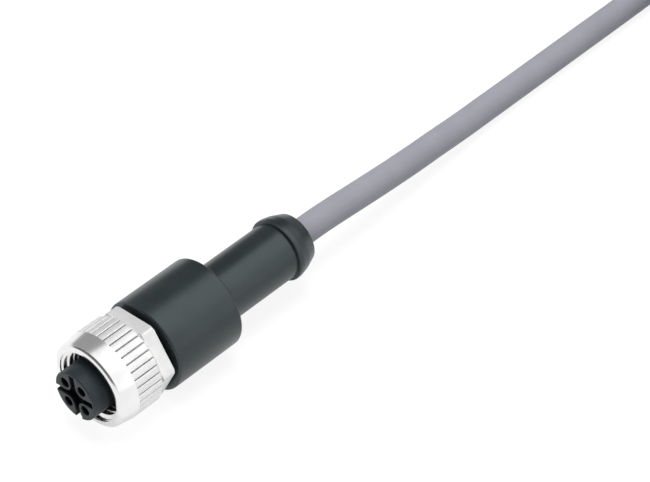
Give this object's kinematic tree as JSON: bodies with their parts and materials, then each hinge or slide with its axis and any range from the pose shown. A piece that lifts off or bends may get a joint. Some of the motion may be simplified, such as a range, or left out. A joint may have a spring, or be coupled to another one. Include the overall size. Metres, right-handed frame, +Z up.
{
  "type": "circular m12 cable connector",
  "caption": "Straight female M12 cable connector with a knurled turning nut, moulded grip and a folded round cable with stripped leads.",
  "frame": {"origin": "on the connector's axis, at the plane of the coupling nut's front face", "axes": "-Y along the axis towards the mating half, +Z up from the surface that the connector lies on"},
  "size_m": [0.045, 0.2393, 0.0258],
  "materials": {
    "nickel_plate": "bright nickel plate on brass",
    "insert_plastic": "satin moulded black plastic",
    "gold_plate": "gold-plated brass",
    "seal_rubber": "smooth rubber",
    "inner_plastic": "moulded plastic",
    "grip_plastic": "satin moulded black plastic",
    "jacket_plastic": "smooth grey cable jacket",
    "tie_plastic": "plastic-coated wire tie",
    "copper": "bare stranded copper",
    "core_brown": "smooth wire insulation",
    "core_white": "smooth wire insulation",
    "core_blue": "smooth wire insulation",
    "core_black": "smooth wire insulation"
  },
  "bodies": {
    "connector": {"contact_carrier": "insert_plastic", "contact_1": "gold_plate", "contact_2": "gold_plate", "contact_3": "gold_plate", "contact_4": "gold_plate", "sealing_ring": "seal_rubber", "inner_mould": "inner_plastic", "grip": "grip_plastic", "cable_jacket": "jacket_plastic", "core_brown": "core_brown", "core_white": "core_white", "core_blue": "core_blue", "core_black": "core_black", "wire_brown": "copper", "wire_white": "copper", "wire_blue": "copper", "wire_black": "copper", "cable_run": "jacket_plastic", "cable_hank": "jacket_plastic", "hank_tie": "tie_plastic", "cable_end": "jacket_plastic", "lead_brown": "core_brown", "lead_white": "core_white", "lead_blue": "core_blue", "lead_black": "core_black", "tip_brown": "copper", "tip_white": "copper", "tip_blue": "copper", "tip_black": "copper"},
    "nut": {"coupling_nut": "nickel_plate"}
  },
  "joints": [
    {"name": "nut_turn", "type": "hinge", "parent": "connector", "child": "nut", "pos_m": [0, 0, 0], "axis": [0, -1, 0], "continuous": true}
  ]
}
